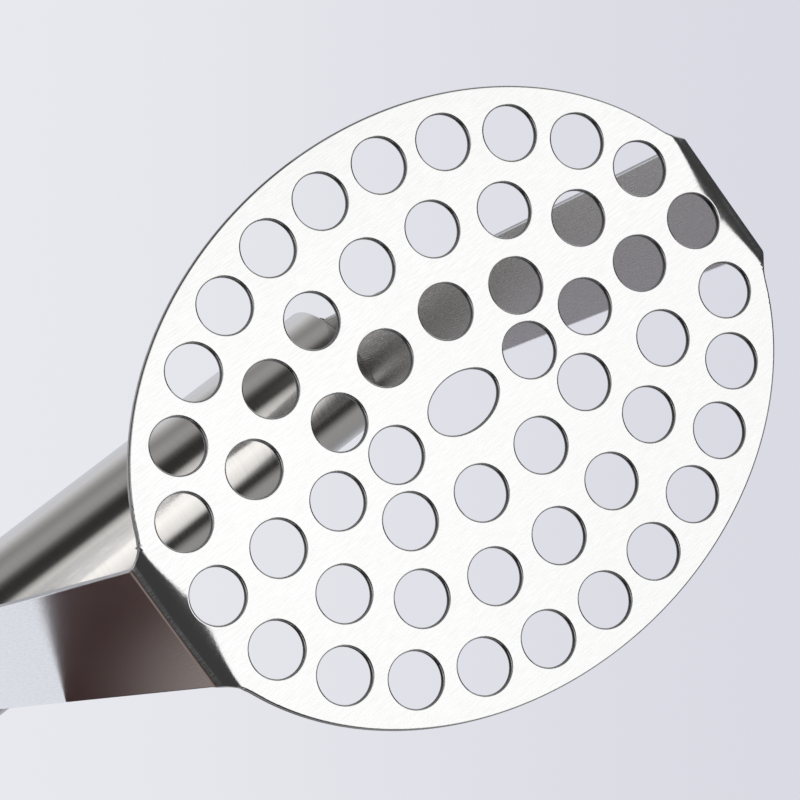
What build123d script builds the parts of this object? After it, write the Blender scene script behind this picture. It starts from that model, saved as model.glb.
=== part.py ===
from build123d import *
import os
from math import cos, radians, sin, tan

# Potato masher with a U-shaped body: one folded sheet makes the perforated
# oval head and the two straps, and a round tube between the straps' tops is
# the grip. Millimetres, +X along the head, +Z from the head to the grip.
# The origin is the middle of the mashing face, which rests on z = 0.

# Head: an oval plate
head_long_radius = 52.8
head_short_radius = 41.5
sheet = 1.1

# Straps: folded up at both ends of the head and leaning inwards
strap_setout = 0.5
strap_lean = 2.2
strap_foot_width = 19.6
strap_top_width = 18.0
bend_inner_radius = 1.3
notch_radius = 6.0

# Head holes: elliptical rings, evenly stepped from the outer to the inner one,
# then a pair on the long axis and an oval in the middle. An axis gap is the
# way along a ring from its hole on the long axis to the next one, and the rest
# are evenly spaced.
hole_diameter = 8.0
rim_margin_long = 7.0
rim_margin_short = 6.9
pair_reach = 12.8
inner_ring_short_radius = 12.0
ring_hole_counts = (24, 16, 10)
ring_axis_gaps = (11.1, 11.5, 11.5)
oval_hole_length = 11.8
oval_hole_width = 8.0

# Grip: a hollow tube across the tops of the straps
grip_height = 154.5
grip_diameter = 25.0
grip_wall = 1.0

# End caps: shallow cups pressed into the tube, flush with its ends
cap_thickness = 1.0
cap_skirt_depth = 5.0
cap_clearance = 0.05

# Weld beads between each strap's edges and the end of the tube
weld_leg = 0.9
weld_height = 0.7
weld_slope = 40
weld_setback = 0.4

# One overrun serves all cuts
cut_overrun = 5.0

# Worked out from the sizes above
strap_reach = head_long_radius + strap_setout
bend_outer_radius = bend_inner_radius + sheet
strap_tip_radius = strap_top_width / 2
strap_tip_height = grip_height + strap_tip_radius + cut_overrun
lean_run = tan(radians(strap_lean))
tip_reach = strap_reach - strap_tip_height * lean_run
seat_reach = strap_reach - sheet / cos(radians(strap_lean)) - grip_height * lean_run
grip_radius = grip_diameter / 2
bore_radius = grip_radius - grip_wall
cap_radius = bore_radius - cap_clearance
seat_overrun = 2 * grip_radius * lean_run + cut_overrun


def seat_plane(side):
    """Inner face of one strap where the tube's end seats; its normal points outwards."""
    return Plane(
        origin=(side * seat_reach, 0, grip_height),
        x_dir=(0, side, 0),
        z_dir=(side * cos(radians(strap_lean)), 0, sin(radians(strap_lean))),
    )


def grip_plane(side):
    """Cross-section plane of the tube just outside one of its ends."""
    return Plane(
        origin=(side * (seat_reach + seat_overrun), 0, grip_height),
        x_dir=(0, side, 0),
        z_dir=(side, 0, 0),
    )


def ring_spots(long_radius, short_radius, count, axis_gap):
    """Hole places along one elliptical ring, mirrored about the long axis."""
    with BuildLine() as upper_half:
        EllipticalCenterArc((0, 0), long_radius, short_radius, arc_size=180)
    arc = upper_half.edge()
    even_gap = (arc.length - 2 * axis_gap) / (count / 2 - 2)
    spots = [(long_radius, 0), (-long_radius, 0)]
    for index in range(count // 2 - 1):
        spot = arc.position_at(axis_gap + index * even_gap, PositionMode.LENGTH)
        spots += [(spot.X, spot.Y), (spot.X, -spot.Y)]
    return spots


# Places of all round holes in the head
hole_spots = [(pair_reach, 0), (-pair_reach, 0)]
ring_long_radius = head_long_radius - rim_margin_long
ring_short_radius = head_short_radius - rim_margin_short
ring_step_long = (ring_long_radius - pair_reach) / len(ring_hole_counts)
ring_step_short = (ring_short_radius - inner_ring_short_radius) / (len(ring_hole_counts) - 1)
for count, axis_gap in zip(ring_hole_counts, ring_axis_gaps):
    hole_spots += ring_spots(ring_long_radius, ring_short_radius, count, axis_gap)
    ring_long_radius -= ring_step_long
    ring_short_radius -= ring_step_short


# Body: head and straps, one folded sheet
with BuildPart() as masher_body:
    with BuildSketch(Plane.XZ) as side_view:
        with BuildLine():
            FilletPolyline(
                (-tip_reach, strap_tip_height),
                (-strap_reach, 0),
                (strap_reach, 0),
                (tip_reach, strap_tip_height),
                radius=bend_outer_radius,
            )
            offset(amount=sheet, side=Side.LEFT)
        make_face()
    extrude(amount=head_short_radius + cut_overrun, both=True)

    # Plan view: the oval and the foot of each strap, with rounded notches between
    with BuildSketch() as plan_view:
        Ellipse(head_long_radius, head_short_radius)
        Rectangle(2 * (strap_reach + cut_overrun), strap_foot_width)
        notch_corners = plan_view.vertices().filter_by(lambda v: abs(v.X) < head_long_radius)
        fillet(notch_corners, notch_radius)
    extrude(amount=strap_tip_height, mode=Mode.INTERSECT)

    # End view: the head edge-on and the tapering strap with its round tip
    with BuildSketch(Plane.YZ) as end_view:
        with BuildLine():
            Polyline(
                (strap_foot_width / 2, sheet),
                (strap_tip_radius, grip_height),
                (-strap_tip_radius, grip_height),
                (-strap_foot_width / 2, sheet),
                close=True,
            )
        make_face()
        with Locations((0, sheet / 2)):
            Rectangle(2 * (head_short_radius + cut_overrun), sheet)
        foot_corners = end_view.vertices().filter_by(
            lambda v: abs(v.Z - sheet) < sheet / 2 and abs(v.Y) < strap_foot_width
        )
        fillet(foot_corners, notch_radius)
        with Locations((0, grip_height)):
            Circle(strap_tip_radius)
    extrude(amount=strap_reach + cut_overrun, both=True, mode=Mode.INTERSECT)

    # The round holes and the middle oval, through the head
    with BuildSketch():
        with Locations(*hole_spots):
            Circle(hole_diameter / 2)
        Ellipse(oval_hole_length / 2, oval_hole_width / 2)
    extrude(amount=sheet, mode=Mode.SUBTRACT)


# Grip: a tube cut at both ends to the lean of the straps
with BuildPart() as grip_tube:
    with BuildSketch(grip_plane(-1)):
        Circle(grip_radius)
        Circle(bore_radius, mode=Mode.SUBTRACT)
    extrude(amount=-2 * (seat_reach + seat_overrun))
    for side in (-1, 1):
        split(bisect_by=seat_plane(side), keep=Keep.BOTTOM)


def make_end_cap(side):
    """Shallow cup inside the tube's mouth: a disc on the strap and a skirt along the bore."""
    with BuildPart() as end_cap:
        with BuildSketch(grip_plane(side)):
            Circle(cap_radius)
        extrude(amount=-(seat_overrun + cap_skirt_depth))
        split(bisect_by=seat_plane(side), keep=Keep.BOTTOM)
        with BuildSketch(seat_plane(side).offset(-cap_thickness)):
            Circle(cap_radius - cap_thickness)
        extrude(amount=-(cap_skirt_depth + cut_overrun), mode=Mode.SUBTRACT)
    return end_cap.part


def make_weld(side):
    """Fillet bead in the corner between the strap's edge and the end of the tube."""
    strap_taper = (strap_foot_width - strap_top_width) / 2 / (grip_height - sheet)
    low_half_width = strap_tip_radius + strap_taper * grip_diameter
    with BuildPart() as weld:
        with BuildSketch(seat_plane(side)):
            with BuildLine():
                Polyline(
                    (-low_half_width, -grip_diameter),
                    (low_half_width, -grip_diameter),
                    (strap_tip_radius, 0),
                    (-strap_tip_radius, 0),
                    close=True,
                )
            make_face()
            Circle(strap_tip_radius)
            offset(amount=weld_leg)
        extrude(amount=weld_height, taper=weld_slope)
        with BuildSketch(grip_plane(side)):
            Circle(grip_radius - weld_setback)
        extrude(amount=-2 * seat_overrun, mode=Mode.INTERSECT)
        add(masher_body.part, mode=Mode.SUBTRACT)
    return weld.part


os.makedirs("parts", exist_ok=True)

masher_body.part.label = "masher_body"
export_step(masher_body.part, "parts/masher_body.step")
grip_tube.part.label = "grip_tube"
export_step(grip_tube.part, "parts/grip_tube.step")

for side, name in ((-1, "left"), (1, "right")):
    end_cap = make_end_cap(side)
    end_cap.label = f"{name}_end_cap"
    export_step(end_cap, f"parts/{end_cap.label}.step")
    weld = make_weld(side)
    weld.label = f"{name}_strap_weld"
    export_step(weld, f"parts/{weld.label}.step")
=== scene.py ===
# %% [markdown]
# # A potato masher in brushed steel
#
# The masher is one folded sheet with a round tube across it. Its sizes are
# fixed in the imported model, so this lesson loads that model first and then
# gives it what a camera sees: rounded rims, brushed steel and a studio for
# the steel to mirror. All lengths are in metres.

# %% Load the fixed model
import math

import bmesh
import bpy
from mathutils import Matrix, Vector


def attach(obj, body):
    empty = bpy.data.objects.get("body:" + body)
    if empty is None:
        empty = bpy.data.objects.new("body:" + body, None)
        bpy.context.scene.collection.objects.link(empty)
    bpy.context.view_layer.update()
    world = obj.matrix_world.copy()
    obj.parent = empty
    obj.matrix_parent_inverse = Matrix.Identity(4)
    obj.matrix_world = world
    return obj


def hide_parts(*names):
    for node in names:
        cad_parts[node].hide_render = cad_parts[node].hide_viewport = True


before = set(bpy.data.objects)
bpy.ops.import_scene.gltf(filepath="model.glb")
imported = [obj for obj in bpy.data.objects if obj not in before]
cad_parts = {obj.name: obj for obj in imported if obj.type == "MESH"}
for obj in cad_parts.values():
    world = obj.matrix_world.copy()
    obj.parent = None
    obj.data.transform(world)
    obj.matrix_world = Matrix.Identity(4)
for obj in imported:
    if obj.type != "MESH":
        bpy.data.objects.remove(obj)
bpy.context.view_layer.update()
scene = bpy.context.scene
for name, node in sorted(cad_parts.items()):
    print(name, len(node.data.polygons), "triangles")

# %% [markdown]
# ## The camera
#
# The masher is seen from below, with the mashing face turned to the camera and
# a little to one side. A long lens keeps the far grip nearly as large as the
# near head. The columns below are the camera's right, up and back directions.

# %% Camera
camera = bpy.data.objects.new("camera", bpy.data.cameras.new("camera"))
scene.collection.objects.link(camera)
scene.camera = camera
camera.data.sensor_width = 36
camera.data.lens = 158.8
right = Vector((0.73346503, 0.5791873, -0.35576835))
up = Vector((0.57424527, -0.80803815, -0.13159298))
back = Vector((-0.36369139, -0.10777944, -0.9252633))
turned = Matrix((right, up, back)).transposed().to_4x4()
camera.matrix_world = Matrix.Translation((-0.18633, -0.05871, -0.45455)) @ turned
print("camera is", round(camera.location.length, 3), "m from the middle of the head")

# %% [markdown]
# ## The folded sheet
#
# The real body starts as a flat blank: an oval with a strap at each end, cut
# and punched from one sheet, and then folded twice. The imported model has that
# shape with knife-sharp edges. A polished rim is slightly round and catches
# the light, so the body is made again here in the maker's own order: outline,
# holes, folds, thickness, and last the rounded rims. Because the outline is
# symmetric, only a quarter of it is drawn.

# %% Sizes of the blank
mm = 0.001
head_long, head_short = 52.8 * mm, 41.49 * mm
sheet = 1.1 * mm
strap_reach = 53.3 * mm
strap_foot, strap_top = 9.8 * mm, 9.0 * mm
grip_height = 154.5 * mm
bend_radius = 2.4 * mm
turn = math.radians(92.2)
tangent = bend_radius * math.tan(turn / 2)
bend_start = strap_reach - tangent
bend_length = bend_radius * turn
bend_rise = bend_radius * (1 - math.cos(turn))
tip_centre = bend_start + bend_length + (grip_height - bend_rise) / math.sin(turn)
print("blank is", round(2 * (tip_centre + strap_top) / mm, 1), "mm long")

# %% Quarter of the outline, mirrored twice
def spin_on(mesh, vertex, centre, angle, steps):
    """Spins a vertex about a point in the sheet and returns the arc's last vertex."""
    made = bmesh.ops.spin(
        mesh, geom=[vertex], cent=centre, axis=(0, 0, 1), angle=angle, steps=steps
    )
    return next(v for v in made["geom_last"] if isinstance(v, bmesh.types.BMVert))


blank = bmesh.new()
in_lip = blank.faces.layers.int.new("in_lip")
# The oval ends this many radians from its short axis, where the notch takes over
arc_share = 1.2416
first = blank.verts.new((0, 1, 0))
last = spin_on(blank, first, (0, 0, 0), -arc_share, 56)
bmesh.ops.scale(blank, vec=(head_long, head_short, 1), verts=blank.verts)

slope = Vector((last.co.x / head_long**2, last.co.y / head_short**2, 0)).normalized()
notch = (last.co.y - strap_foot) / (1 - slope.y)
notch_turn = math.pi / 2 - math.atan2(slope.y, slope.x)
last = spin_on(blank, last, last.co + slope * notch, notch_turn, 12)
strap_edge = blank.verts.new((tip_centre, strap_top, 0))
blank.edges.new((last, strap_edge))
spin_on(blank, strap_edge, (tip_centre, 0, 0), -math.pi / 2, 16)
for axis in ("X", "Y"):
    bmesh.ops.mirror(blank, geom=blank.verts[:] + blank.edges[:], axis=axis, merge_dist=1e-7)
bmesh.ops.remove_doubles(blank, verts=blank.verts, dist=1e-6)
print("outline has", len(blank.edges), "edges, and notches of", round(notch / mm, 2), "mm radius")

# %% [markdown]
# Each edge that gets rounded later needs a narrow lip of clean quads beside
# it, or the bevel slides along long thin triangles. So the outline is inset by
# a lip, each hole is a disc with a lip, and only the web between all the lips
# is filled with triangles.

# %% Places of the holes
lip = 0.35 * mm
hole_radius = 4.0 * mm


def places_on_ring(long, short, count, axis_gap):
    """Hole places on one elliptical ring, measured by length from the long axis."""
    steps = 2000
    angles = [i * math.pi / steps for i in range(steps + 1)]
    points = [Vector((long * math.cos(a), short * math.sin(a), 0)) for a in angles]
    lengths = [0.0]
    for a, b in zip(points, points[1:]):
        lengths.append(lengths[-1] + (b - a).length)
    gap = (lengths[-1] - 2 * axis_gap) / (count / 2 - 2)
    places = [Vector((long, 0, 0)), Vector((-long, 0, 0))]
    for index in range(count // 2 - 1):
        nearest = min(range(steps + 1), key=lambda i: abs(lengths[i] - axis_gap - index * gap))
        point = points[nearest]
        places += [point, Vector((point.x, -point.y, 0))]
    return places


hole_places = []
ring = Vector((45.8 * mm, 34.6 * mm))
for count, axis_gap in ((24, 11.1 * mm), (16, 11.5 * mm), (10, 11.5 * mm)):
    hole_places += places_on_ring(ring.x, ring.y, count, axis_gap)
    ring -= Vector((11.0 * mm, 11.3 * mm))
hole_places += [Vector((ring.x, 0, 0)), Vector((-ring.x, 0, 0))]
print(len(hole_places), "round holes")

# %% Lips and web
def leave_lip(mesh, face, web_inside):
    """Insets a face by the lip, opens its middle, and returns the loop that the web joins."""
    made = bmesh.ops.inset_region(
        mesh, faces=[face], thickness=lip, use_even_offset=True, use_boundary=True
    )
    inner = set(face.edges)
    for ring_face in made["faces"]:
        ring_face[in_lip] = not web_inside
    bmesh.ops.delete(mesh, geom=[face], context="FACES_ONLY")
    if web_inside:
        return list(inner)
    return [e for f in made["faces"] for e in f.edges if e.is_boundary and e not in inner]


whole = bmesh.ops.contextual_create(blank, geom=blank.edges[:])["faces"][0]
web_edges = leave_lip(blank, whole, True)
# A slight turn keeps the corners of the discs out of line, which the filling needs
skew = Matrix.Rotation(0.03, 4, "Z")
for place in hole_places:
    disc = bmesh.ops.create_circle(
        blank, cap_ends=True, radius=hole_radius + lip, segments=48,
        matrix=Matrix.Translation(place) @ skew,
    )
    web_edges += leave_lip(blank, disc["verts"][0].link_faces[0], False)
oval = Matrix.Diagonal((5.9 * mm + lip, 4.0 * mm + lip, 1, 1))
disc = bmesh.ops.create_circle(blank, cap_ends=True, radius=1, segments=56, matrix=oval)
web_edges += leave_lip(blank, disc["verts"][0].link_faces[0], False)
bmesh.ops.triangle_fill(
    blank, use_beauty=True, use_dissolve=False, edges=web_edges, normal=(0, 0, -1)
)
bmesh.ops.recalc_face_normals(blank, faces=blank.faces)
if sum(face.normal.z for face in blank.faces) > 0:
    bmesh.ops.reverse_faces(blank, faces=blank.faces)
print("blank has", len(blank.faces), "faces")

# %% [markdown]
# A fold needs cross cuts to bend at. The sheet is weaker beside the hole that
# is nearest to each fold, and there it starts to curl a little earlier, right
# from the hole's rim, while at the strap's edges it stays flat up to the fold.
# A few degrees are enough to turn its mirror image from the bright window to
# the dark beside it, so the fold's dark band bulges at the hole.

# %% Cross cuts
snap = 0.06 * mm


def cut_web(place, direction, beyond, before=1.0):
    """Cuts the web along a line between two reaches, and spares the lips of the holes."""
    near = []
    for face in blank.faces:
        farthest = max(abs(v.co.x) for v in face.verts)
        if not face[in_lip] and farthest > beyond and abs(face.calc_center_median().x) < before:
            near.append(face)
    lips = [face for face in blank.faces if face[in_lip]]
    spared = {e for f in lips for e in f.edges if all(g[in_lip] for g in e.link_faces)}
    geom = {v for f in near for v in f.verts} | {e for f in near for e in f.edges} - spared
    bmesh.ops.bisect_plane(
        blank, geom=list(geom) + near, dist=snap, plane_co=place, plane_no=direction
    )


curl_start = bend_start - 3.0 * mm
bend_end = bend_start + bend_length
cuts = [curl_start + 0.375 * mm * i for i in range(8)]
cuts += [bend_start + bend_length * i / 16 for i in range(20)]
for reach in cuts:
    for side in (1, -1):
        cut_web((side * reach, 0, 0), (1, 0, 0), cuts[0] - 0.5 * mm)
for across in range(-9, 10):
    cut_web((0, across * mm, 0), (0, 1, 0), cuts[0] + snap, cuts[-1] + snap)
print("blank has", len(blank.faces), "faces after the cuts")

# %% Fold both straps
curl_angle = math.radians(11)
curl_at_edge = 0.1 * mm
bend_exit = Vector((bend_start + bend_radius * math.sin(turn), bend_rise))


def walk(reach, length):
    """Follows the sheet to a reach, where it starts to curl by a length before the fold."""
    steps = 30
    x, z = bend_start - length, 0.0
    step = (reach - x) / steps
    for index in range(steps):
        ahead = (index + 0.5) * step
        early = curl_angle * min(1.0, ahead / length)
        angle = early + (turn - early) * max(0.0, (ahead - length) / bend_length)
        x += step * math.cos(angle)
        z += step * math.sin(angle)
    return Vector((x, z))


def folded(reach, across):
    """Where a point of the blank comes to lie: its new reach and height."""
    middling = max(0.0, 1 - abs(across) / strap_foot)
    length = curl_at_edge + (bend_start - curl_start - curl_at_edge) * middling
    if reach <= bend_start - length:
        return reach, 0.0
    share = max(0.0, min(1.0, (reach - bend_start) / bend_length))
    share *= share * (3 - 2 * share)
    # The early curl shifts the fold, so the fold is led back to where the strap starts
    place = walk(min(reach, bend_end), length) + (bend_exit - walk(bend_end, length)) * share
    place += Vector((math.cos(turn), math.sin(turn))) * max(0.0, reach - bend_end)
    return place.x, place.y


for vertex in blank.verts:
    x, z = folded(abs(vertex.co.x), vertex.co.y)
    vertex.co.x = math.copysign(x, vertex.co.x)
    vertex.co.z = z
print("folded sheet is", round(max(v.co.z for v in blank.verts) / mm, 1), "mm high")

# %% [markdown]
# So far the sheet is a single layer, its outer side. Solidify gives it the
# thickness. Every cut or punched edge of real steel is tumbled or polished a
# little round, so both rims of each wall get a bevel. Plain faces, punched
# walls and outer edges are told apart here, because each gets its own finish.
# The punched walls are coloured near black: that is painted shade inside the
# holes, not the colour of the steel.

# %% Thickness and rounded rims
rim_radius = 0.28 * mm
blank.normal_update()
outer = set(blank.faces)
edges_of_sheet = [e for e in blank.edges if e.is_boundary]
bmesh.ops.solidify(blank, geom=blank.faces[:], thickness=sheet)
cut_faces = {f for e in edges_of_sheet for f in e.link_faces} - outer
# The outer side keeps finish 0, and the others follow in the order of the steels below
# Finish 2 carries the painted shade of the punched hole walls
plain_inside, punched_wall_painted_shade, outer_edge = 1, 2, 3
inner_share = 0.98
for face in set(blank.faces) - outer:
    middle = face.calc_center_median()
    out = math.hypot(middle.x / head_long, middle.y / head_short)
    in_hole = middle.z < sheet and out < inner_share
    if face not in cut_faces:
        face.material_index = plain_inside
    else:
        face.material_index = punched_wall_painted_shade if in_hole else outer_edge
print(len(cut_faces), "faces of cut edge")
rims = [e for e in blank.edges if len(cut_faces.intersection(e.link_faces)) == 1]
bmesh.ops.bevel(
    blank, geom=rims, offset=rim_radius, offset_type="OFFSET", segments=3, profile=0.5,
    affect="EDGES", material=-1, clamp_overlap=False,
)
# Nothing may lie below the flat face on which the masher rests
for vertex in blank.verts:
    vertex.co.z = max(vertex.co.z, 0)


def finished_piece(name, mesh, stands_for):
    """Turns a shaped mesh into a smooth piece that takes the place of a packed one."""
    for face in mesh.faces:
        face.smooth = True
    data = bpy.data.meshes.new(name)
    mesh.to_mesh(data)
    mesh.free()
    piece = bpy.data.objects.new(name, data)
    scene.collection.objects.link(piece)
    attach(piece, "root")
    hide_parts(stands_for)
    print(name, "has", len(data.polygons), "faces")
    return piece


folded_sheet = finished_piece("folded_sheet", blank, "masher_body")

# %% [markdown]
# ## The round grip
#
# The grip is a length of tube, cut at both ends to the lean of the straps. In
# Blender a tube can be an extruded circle or a spun section. The section is
# spun here, because its four corners can be rounded at once, and the ends are
# then sheared to the lean.

# %% Tube
grip_radius = 12.5 * mm
grip_wall = 1.0 * mm
lean = turn - math.pi / 2
seat = strap_reach - sheet / math.cos(lean) - grip_height * math.tan(lean)


def onto_seats(mesh):
    """Lifts a shape that was made about the X axis to the grip's height and leans its ends."""
    for vertex in mesh.verts:
        vertex.co.x -= math.copysign(math.tan(lean), vertex.co.x) * vertex.co.z
        vertex.co.z += grip_height


def round_rims(mesh, radius):
    """Rounds every edge where two faces meet at more than about 60 degrees."""
    rims = [e for e in mesh.edges if e.calc_face_angle(0) > 1]
    bmesh.ops.bevel(
        mesh, geom=rims, offset=radius, offset_type="OFFSET", segments=3, profile=0.5,
        affect="EDGES", material=-1, clamp_overlap=False,
    )


tube = bmesh.new()
bore = grip_radius - grip_wall
tube_section = ((-seat, bore), (seat, bore), (seat, grip_radius), (-seat, grip_radius))
corners = [tube.verts.new((x, 0, radius)) for x, radius in tube_section]
section = corners + [tube.edges.new(pair) for pair in zip(corners, corners[1:] + corners[:1])]
bmesh.ops.spin(
    tube, geom=section, cent=(0, 0, 0), axis=(1, 0, 0), angle=2 * math.pi, steps=180, use_merge=True
)
bmesh.ops.recalc_face_normals(tube, faces=tube.faces)
round_rims(tube, 0.2 * mm)
onto_seats(tube)
round_grip = finished_piece("round_grip", tube, "grip_tube")

# %% [markdown]
# ## End caps
#
# A shallow cup is pressed into each end of the tube and closes it. A disc is
# drawn out to the cup's depth, and its inner face is inset and pushed back
# until the thickness of the sheet is left. Its rounded rim leaves the fine seam
# that shows between a cap and its tube.

# %% Cups
cap_radius = bore - 0.05 * mm
cap_depth = 5.0 * mm
cap_sheet = 1.0 * mm
caps = []
for side, name in ((-1, "left"), (1, "right")):
    cup = bmesh.new()
    facing = Matrix.Translation((side * seat, 0, 0)) @ Matrix.Rotation(math.pi / 2, 4, "Y")
    disc = bmesh.ops.create_circle(
        cup, cap_ends=True, radius=cap_radius, segments=120, matrix=facing
    )
    outer_face = disc["verts"][0].link_faces[0]
    drawn = bmesh.ops.extrude_face_region(cup, geom=[outer_face], use_keep_orig=True)["geom"]
    inner_face = next(g for g in drawn if isinstance(g, bmesh.types.BMFace))
    bmesh.ops.translate(cup, vec=(-side * cap_depth, 0, 0), verts=inner_face.verts[:])
    bmesh.ops.inset_region(cup, faces=[inner_face], thickness=cap_sheet, use_even_offset=True)
    pushed = bmesh.ops.extrude_discrete_faces(cup, faces=[inner_face])["faces"][0]
    bmesh.ops.translate(cup, vec=(side * (cap_depth - cap_sheet), 0, 0), verts=pushed.verts[:])
    bmesh.ops.recalc_face_normals(cup, faces=cup.faces)
    round_rims(cup, 0.25 * mm)
    onto_seats(cup)
    caps.append(finished_piece(f"{name}_cap", cup, f"{name}_end_cap"))

# %% [markdown]
# ## Weld beads
#
# A weld is laid down drop by drop, and each drop freezes as a small ripple.
# The bead fills the corner between the strap's edge and the end of the tube,
# so its section is a rounded triangle. The section is spun round the strap's
# tip and extruded down both edges, and then each row of points is moved in or
# out by the ripple.

# %% Rippled beads
bead_leg, bead_height = 0.85 * mm, 0.66 * mm
bead_drop = 7.8 * mm
ripple_pitch, ripple_depth = 0.62 * mm, 0.2
bead_section = ((-0.1, -0.02), (1, -0.02), (0.82, 0.42), (0.52, 0.78), (0.2, 0.98), (-0.1, 1))
drop_steps = 66
beads = []
for side, name in ((-1, "left"), (1, "right")):
    bead = bmesh.new()
    corners = [
        bead.verts.new((side * (seat + height * bead_height), strap_top + reach * bead_leg, 0))
        for reach, height in bead_section
    ]
    first_ring = [bead.edges.new(pair) for pair in zip(corners, corners[1:] + corners[:1])]
    made = bmesh.ops.spin(
        bead, geom=corners + first_ring, cent=(0, 0, 0), axis=(1, 0, 0), angle=math.pi, steps=240
    )
    last_ring = [g for g in made["geom_last"] if isinstance(g, bmesh.types.BMEdge)]
    for ring in (first_ring, last_ring):
        for step in range(drop_steps):
            made = bmesh.ops.extrude_edge_only(bead, edges=ring)["geom"]
            ring = [g for g in made if isinstance(g, bmesh.types.BMEdge)]
            moved = [g for g in made if isinstance(g, bmesh.types.BMVert)]
            bmesh.ops.translate(bead, vec=(0, 0, -bead_drop / drop_steps), verts=moved)
        bmesh.ops.contextual_create(bead, geom=ring)
    bmesh.ops.recalc_face_normals(bead, faces=bead.faces)
    for vertex in bead.verts:
        arm = Vector((0, vertex.co.y, max(vertex.co.z, 0)))
        out = arm.length - strap_top
        along = strap_top * math.atan2(arm.z, arm.y) - min(vertex.co.z, 0)
        if out > 0:
            ripples = along / ripple_pitch + out / bead_leg / 3
            swell = 1 - ripple_depth * abs(math.sin(math.pi * ripples))
            vertex.co += arm.normalized() * out * (swell - 1)
            vertex.co.x = side * (seat + (abs(vertex.co.x) - seat) * swell)
    onto_seats(bead)
    beads.append(finished_piece(f"{name}_bead", bead, f"{name}_strap_weld"))

# %% [markdown]
# ## Shader sums in plain Python
#
# A finish is a sum of waves, noises and masks. Wired by hand it is a knot of
# Math nodes. This class wraps a node's output, so that `1 - mask * 0.5` adds
# the nodes by itself.

# %% A socket that can be used in sums
class Shade:
    """A value in a node tree. Sums on it add Math nodes."""

    def __init__(self, tree, socket=None):
        self.tree = tree
        self.socket = socket

    def node(self, kind, settings, inputs, output=0):
        """Adds a node: its settings first, then the values or links of its sockets."""
        made = self.tree.nodes.new(kind)
        for name, value in settings.items():
            if name == "stops":
                ramp = made.color_ramp
                while len(ramp.elements) < len(value):
                    ramp.elements.new(0.5)
                for element, (place, shade) in zip(ramp.elements, value):
                    element.position = place
                    element.color = (*shade, 1) if len(shade) == 3 else shade
            else:
                setattr(made, name, value)
        shown = [s for s in made.inputs if s.enabled]
        for key, value in inputs.items():
            if isinstance(key, int):
                target = shown[key]
            else:
                target = next(s for s in shown if s.name == key)
            if isinstance(value, Shade):
                self.tree.links.new(value.socket, target)
            else:
                target.default_value = value
        outs = [s for s in made.outputs if s.enabled]
        return Shade(self.tree, outs[output] if outs else None)

    def math(self, operation, *values):
        return self.node("ShaderNodeMath", {"operation": operation}, dict(enumerate(values)))

    def __add__(self, other):
        return self.math("ADD", self, other)

    def __sub__(self, other):
        return self.math("SUBTRACT", self, other)

    def __rsub__(self, other):
        return self.math("SUBTRACT", other, self)

    def __mul__(self, other):
        return self.math("MULTIPLY", self, other)

    def __truediv__(self, other):
        return self.math("DIVIDE", self, other)

    __radd__ = __add__
    __rmul__ = __mul__

    def rise(self, low, high):
        """0 below low, 1 above high, with a smooth slope between them."""
        ranges = {"From Min": low, "From Max": high, "To Min": 0.0, "To Max": 1.0}
        smooth = {"interpolation_type": "SMOOTHSTEP"}
        return self.node("ShaderNodeMapRange", smooth, {"Value": self, **ranges})

    def mix(self, shade_0, shade_1):
        """Colour 0 where this value is 0, and colour 1 where it is 1."""
        sides = {"Factor": self, "A": shade_0, "B": shade_1}
        return self.node("ShaderNodeMix", {"data_type": "RGBA"}, sides)


def parts_of(vector):
    """The X, Y and Z of a vector as three values."""
    split = vector.node("ShaderNodeSeparateXYZ", {}, {0: vector})
    outs = split.socket.node.outputs
    return [Shade(vector.tree, out) for out in outs]


def new_finish(name):
    """An empty material and a Shade to build in it."""
    material = bpy.data.materials.new(name)
    material.use_nodes = True
    material.node_tree.nodes.clear()
    return material, Shade(material.node_tree)


# %% [markdown]
# ## Brushed steel
#
# An abrasive belt runs along the sheet and leaves fine lines in one direction.
# The lines are noise that is stretched hard along the belt's way. They change
# the colour only a little; what shows is their relief, which smears each
# reflection across the lines and keeps it sharp along them.

# %% Steel finish
def steel(name, colour, roughness, along, across, length, width, bump, darker, grain=0.4):
    """A steel whose fine lines run where `along` grows and differ where `across` grows."""
    material, shade = new_finish(name)
    place = shade.node("ShaderNodeTexCoord", {}, {}, output=3)
    x, y, z = parts_of(place)
    u, v = along(x, y, z), across(x, y, z)
    stretched = shade.node(
        "ShaderNodeCombineXYZ", {}, {0: u * (1 / length), 1: v * (1 / width), 2: 0.0}
    )
    lines = shade.node(
        "ShaderNodeTexNoise", {},
        {"Vector": stretched, "Scale": 1.0, "Detail": 2.0, "Roughness": 0.6},
    )
    cloud = shade.node("ShaderNodeTexNoise", {}, {"Vector": place, "Scale": 45.0, "Detail": 2.0})
    tone = lines.rise(0.25, 0.75)
    dark = [c * darker for c in colour]
    base = tone.mix((*dark, 1), (*colour, 1))
    rough = roughness + (0.5 - tone) * 0.05 + (cloud - 0.5) * 0.05
    pits = shade.node("ShaderNodeTexNoise", {}, {"Vector": place, "Scale": 3500.0, "Detail": 1.0})
    height = lines + pits * grain
    relief = shade.node(
        "ShaderNodeBump", {}, {"Height": height, "Strength": bump, "Distance": 0.02 * mm}
    )
    metal = shade.node(
        "ShaderNodeBsdfPrincipled", {},
        {"Base Color": base, "Metallic": 1.0, "Roughness": rough, "Normal": relief},
    )
    shade.node("ShaderNodeOutputMaterial", {}, {"Surface": metal})
    return material


# %% Ways in which the lines can run
def along_sheet(x, y, z):
    """Distance from the head's middle along the folded sheet."""
    return x.math("ABSOLUTE", x) + z


def round_tube(x, y, z):
    """Distance round the tube."""
    return x.math("ARCTAN2", z - grip_height, y) * grip_radius


def from_axis(x, y, z):
    """Distance from the tube's axis."""
    up = z - grip_height
    return y.math("SQRT", y * y + up * up)


def over_sheet(x, y, z):
    return y


def up_wall(x, y, z):
    return z


def along_tube(x, y, z):
    return x


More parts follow.
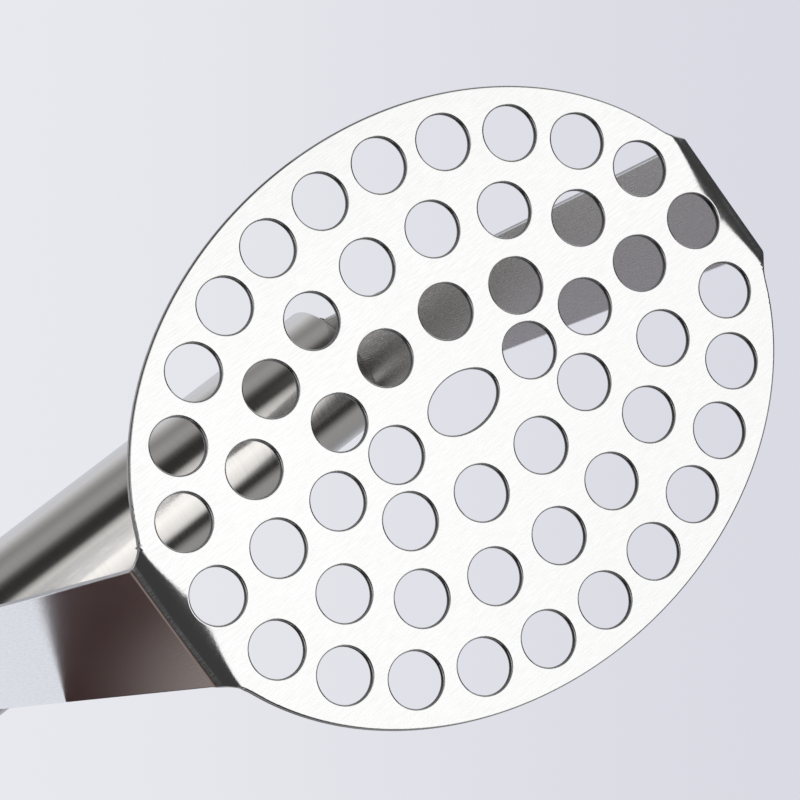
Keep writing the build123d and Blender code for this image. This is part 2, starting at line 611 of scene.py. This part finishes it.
# %% One steel for each kind of surface
sheet_steel = steel(
    "brushed_sheet", (0.88, 0.877, 0.875), 0.15, along_sheet, over_sheet,
    length=2.5 * mm, width=0.2 * mm, bump=0.5, darker=0.93,
)
inner_steel = steel(
    "brushed_inside", (0.84, 0.83, 0.82), 0.28, along_sheet, over_sheet,
    length=4 * mm, width=0.2 * mm, bump=0.7, darker=0.9,
)
# Near-black colour: painted shade inside the punched holes, not the steel's own tone
painted_shade_wall_steel = steel(
    "punched_wall_painted_shade", (0.03, 0.029, 0.028), 0.3, up_wall, along_sheet,
    length=0.8 * mm, width=0.3 * mm, bump=0.8, darker=0.7,
)
edge_steel = steel(
    "sheet_edge", (0.46, 0.45, 0.44), 0.3, up_wall, along_sheet,
    length=1.2 * mm, width=0.5 * mm, bump=0.9, darker=0.6,
)
tube_steel = steel(
    "satin_tube", (0.85, 0.825, 0.795), 0.15, round_tube, along_tube,
    length=12 * mm, width=0.3 * mm, bump=0.15, darker=0.97,
)
cap_steel = steel(
    "turned_cap", (0.8, 0.79, 0.775), 0.2, round_tube, from_axis,
    length=20 * mm, width=0.2 * mm, bump=0.4, darker=0.94,
)
bead_steel = steel(
    "weld_bead", (0.66, 0.63, 0.59), 0.3, over_sheet, up_wall,
    length=2 * mm, width=0.6 * mm, bump=0.4, darker=0.8,
)
for piece, finishes in (
    (folded_sheet, (sheet_steel, inner_steel, painted_shade_wall_steel, edge_steel)),
    (round_grip, (tube_steel,)),
    *((cap, (cap_steel,)) for cap in caps),
    *((bead, (bead_steel,)) for bead in beads),
):
    for finish in finishes:
        piece.data.materials.append(finish)
    print(piece.name, "wears", ", ".join(finish.name for finish in finishes))

# %% [markdown]
# ## The studio
#
# Steel has almost no colour of its own: it shows what stands round it. So the
# studio is a round tent that only reflections can see. Round the grip's axis
# it has a white window below, a dark strip on each side of the window, and
# grey walls that grow light towards the top. Black flags to the left and right
# draw the dark folds. Each flag is a range of directions with soft borders.

# %% Brightness round the grip's axis, by angle from straight down
dome_radius = 1.3
round_stops = (
    (-180, 0.68), (-130, 0.7), (-118, 0.54), (-108, 0.37), (-96, 0.26), (-78, 0.355),
    (-67, 0.31), (-58, 0.09), (-50, 0.03), (-31, 0.03), (-26, 0.44), (-20, 0.68),
    (-12, 0.78), (-3, 1.12), (2, 1.22), (8, 1.2), (13, 1.16), (22, 1.22), (33, 1.06),
    (47, 0.9), (52, 0.62), (58, 0.08), (61, 0.03), (71, 0.035), (80, 0.2), (87, 0.31),
    (95, 0.33), (125, 0.3), (135, 0.35), (146, 0.45), (156, 0.54), (180, 0.68),
)
print(len(round_stops), "stops round the axis")


def span(value, start, full, fading, end):
    """Rises from start to full, and falls from fading to end."""
    return value.rise(start, full) * (1 - value.rise(fading, end))


def grey(level):
    return (level, level, level, 1)


# %% The flags
def tent_light():
    """Light by direction from the tent's middle: x and y are level, and z is up."""
    material, shade = new_finish("tent_light")
    place = shade.node("ShaderNodeTexCoord", {}, {}, output=3)
    way = shade.node("ShaderNodeVectorMath", {"operation": "NORMALIZE"}, {0: place})
    x, y, z = parts_of(way)
    angle = y.math("ARCTAN2", y, 0 - z) * (180 / math.pi)
    stops = [((degrees + 180) / 360, (level,) * 3) for degrees, level in round_stops]
    round_light = shade.node("ShaderNodeValToRGB", {"stops": stops}, {0: angle * (1 / 360) + 0.5})
    ends = x.math("ABSOLUTE", x).rise(0.6, 0.95)
    level = ends.mix(round_light, grey(0.5))

    # Low flags end where the slant from straight down says, and high ones are narrow in y
    slant = x / x.math("MAXIMUM", 0 - z, 0.05)
    low = 1 - z.rise(-0.5, -0.4)
    below_top = 1 - z.rise(0.8, 0.9)
    beside = span(y, 0.01, 0.06, 0.4, 0.55)
    right_side = slant.rise(0.68, 0.8)
    left_flag = (1 - slant.rise(0.05, 0.11)) * low * span(y, -0.35, -0.1, 0.6, 0.85)
    left_wall = (0 - x).rise(0.35, 0.5) * z.rise(-0.62, -0.52) * below_top * beside
    right_flag = right_side * low * span(y, -0.7, -0.5, 0.7, 0.85)
    right_wall = x.rise(0.5, 0.6) * below_top * beside * right_side

    # Above, a window lights the back of the head, and a dim card darkens the right strap
    top_flag = span(x, -0.8, -0.65, -0.37, -0.3) * z.rise(0.6, 0.75) * beside
    top_window = span(x, 0.26, 0.29, 0.33, 0.37) * z.rise(0.7, 0.8) * span(y, 0.02, 0.06, 0.3, 0.4)
    top_left = span(x, -0.31, -0.27, 0.05, 0.15) * z.rise(0.7, 0.8)
    for field, field_light in (
        (top_window, (2.6, 2.54, 2.43, 1)),
        (top_left, grey(0.84)),
        (left_flag, grey(0.045)),
        (left_wall, grey(0.045)),
        (right_flag, grey(0.08)),
        (right_wall, grey(0.045)),
        (top_flag, (0.24, 0.219, 0.229, 1)),
    ):
        level = field.mix(level, field_light)

    # The upper half is a little cooler, and the lower left a little brighter
    cool = angle.math("ABSOLUTE", angle).rise(95, 150)
    tint = cool.mix((1.0, 1.0, 1.0, 1), (0.96, 0.985, 1.07, 1))
    trim = slant.rise(0.25, 0.4).mix(grey(0.99), grey(0.96))
    times = {"operation": "MULTIPLY"}
    tinted = shade.node("ShaderNodeVectorMath", times, {0: level, 1: tint})
    colour = shade.node("ShaderNodeVectorMath", times, {0: tinted, 1: trim})
    light = shade.node("ShaderNodeEmission", {}, {"Color": colour, "Strength": 1.0})
    shade.node("ShaderNodeOutputMaterial", {}, {"Surface": light})
    return material


def seen_in_steel(thing):
    """Leaves a light card to the mirrors alone: no camera, shadow or matt surface sees it."""
    thing.visible_camera = False
    thing.visible_diffuse = False
    thing.visible_shadow = False
    thing.visible_transmission = False


# %% [markdown]
# The tent itself is a ball round the masher. A world texture could hold the
# same light, but it would lie infinitely far away. A ball of a real size lets
# the reflections shift a little along the grip, as they do in a small studio.

# %% The tent
mesh = bmesh.new()
bmesh.ops.create_uvsphere(mesh, u_segments=64, v_segments=32, radius=dome_radius)
tent_mesh = bpy.data.meshes.new("tent")
mesh.to_mesh(tent_mesh)
mesh.free()
tent = bpy.data.objects.new("tent", tent_mesh)
scene.collection.objects.link(tent)
tent_mesh.materials.append(tent_light())
tent.location.z = grip_height
seen_in_steel(tent)
print("tent is", 2 * dome_radius, "m across")

# %% [markdown]
# Close to the left strap hangs one more card, dark and warm. Because it is
# near, its edge stays sharp in the strap, where it ends the dark half with a
# slanting border.

# %% Warm card
card = bmesh.new()
# Long, broad and thin, with its near edge cut at a slant
card_size = Vector((200, 110, 0.4)) * mm
card_middle = Vector((-154.1, 10, 85)) * mm
near_edge_slant = 0.44
bmesh.ops.create_cube(card, size=1)
bmesh.ops.scale(card, vec=card_size, verts=card.verts)
bmesh.ops.translate(card, vec=card_middle, verts=card.verts)
for vertex in card.verts:
    if vertex.co.x > card_middle.x:
        vertex.co.x += near_edge_slant * vertex.co.y
card_mesh = bpy.data.meshes.new("warm_card")
card.to_mesh(card_mesh)
card.free()
warm_card = bpy.data.objects.new("warm_card", card_mesh)
scene.collection.objects.link(warm_card)
material, shade = new_finish("warm_card")
place = shade.node("ShaderNodeTexCoord", {}, {}, output=3)
x, y, z = parts_of(place)
# Dark red-brown, paler towards the far side, with a broad warm glint across it
paler = y.rise(0.002, 0.024) * span(0 - x, 0.05, 0.072, 0.1, 0.16)
glint = span(0 - x, 0.074, 0.09, 0.13, 0.19)
colour = paler.mix((0.04, 0.02, 0.019, 1), (0.25, 0.215, 0.205, 1))
colour = glint.mix(colour, (0.22, 0.17, 0.15, 1))
upper_face = z.rise(card_middle.z - 0.1 * mm, card_middle.z + 0.1 * mm)
colour = upper_face.mix(colour, grey(0.43))
light = shade.node("ShaderNodeEmission", {}, {"Color": colour, "Strength": 1.0})
shade.node("ShaderNodeOutputMaterial", {}, {"Surface": light})
card_mesh.materials.append(material)
seen_in_steel(warm_card)
print("warm card hangs", round(card_middle.z / mm), "mm up")

# %% [markdown]
# ## Backdrop, floor and lamp
#
# Behind the masher is a pale lavender wall that falls off gently from one side
# to the other. It is the world's own colour, because a wall so soft has no
# edge to show. The floor lies far below, since the masher is held in the air,
# and a broad lamp above gives it a faint, soft shadow.

# %% Backdrop
world = bpy.data.worlds.new("studio")
scene.world = world
world.use_nodes = True
world.node_tree.nodes.clear()
shade = Shade(world.node_tree)
way = shade.node("ShaderNodeTexCoord", {}, {}, output=0)
sideways = shade.node(
    "ShaderNodeVectorMath", {"operation": "DOT_PRODUCT"}, {0: way, 1: tuple(right)}, output=0
)
fade = sideways.rise(-0.12, 0.12)
backdrop = fade.mix((0.807, 0.814, 0.855, 1), (0.701, 0.701, 0.775, 1))
light = shade.node("ShaderNodeBackground", {}, {"Color": backdrop, "Strength": 1.0})
shade.node("ShaderNodeOutputWorld", {}, {"Surface": light})
print("backdrop colour is mixed from", len(world.node_tree.nodes), "nodes")

# %% Floor
floor_mesh = bpy.data.meshes.new("floor")
mesh = bmesh.new()
bmesh.ops.create_grid(mesh, x_segments=1, y_segments=1, size=40)
mesh.to_mesh(floor_mesh)
mesh.free()
floor = bpy.data.objects.new("floor", floor_mesh)
floor.location = (0, 0, -1.35)
scene.collection.objects.link(floor)
pale, shade = new_finish("pale_floor")
matt = shade.node(
    "ShaderNodeBsdfPrincipled", {}, {"Base Color": (0.82, 0.82, 0.84, 1), "Roughness": 0.8}
)
shade.node("ShaderNodeOutputMaterial", {}, {"Surface": matt})
floor_mesh.materials.append(pale)
print("floor lies", -floor.location.z, "m below")

# %% Lamp and view
lamp = bpy.data.objects.new("lamp", bpy.data.lights.new("lamp", "AREA"))
lamp.data.energy = 12
lamp.data.size = 0.6
lamp.location = (0.2, 0.1, 1.1)
lamp.visible_glossy = False
scene.collection.objects.link(lamp)

scene.view_settings.view_transform = "Standard"
print("lamp gives", lamp.data.energy, "W")
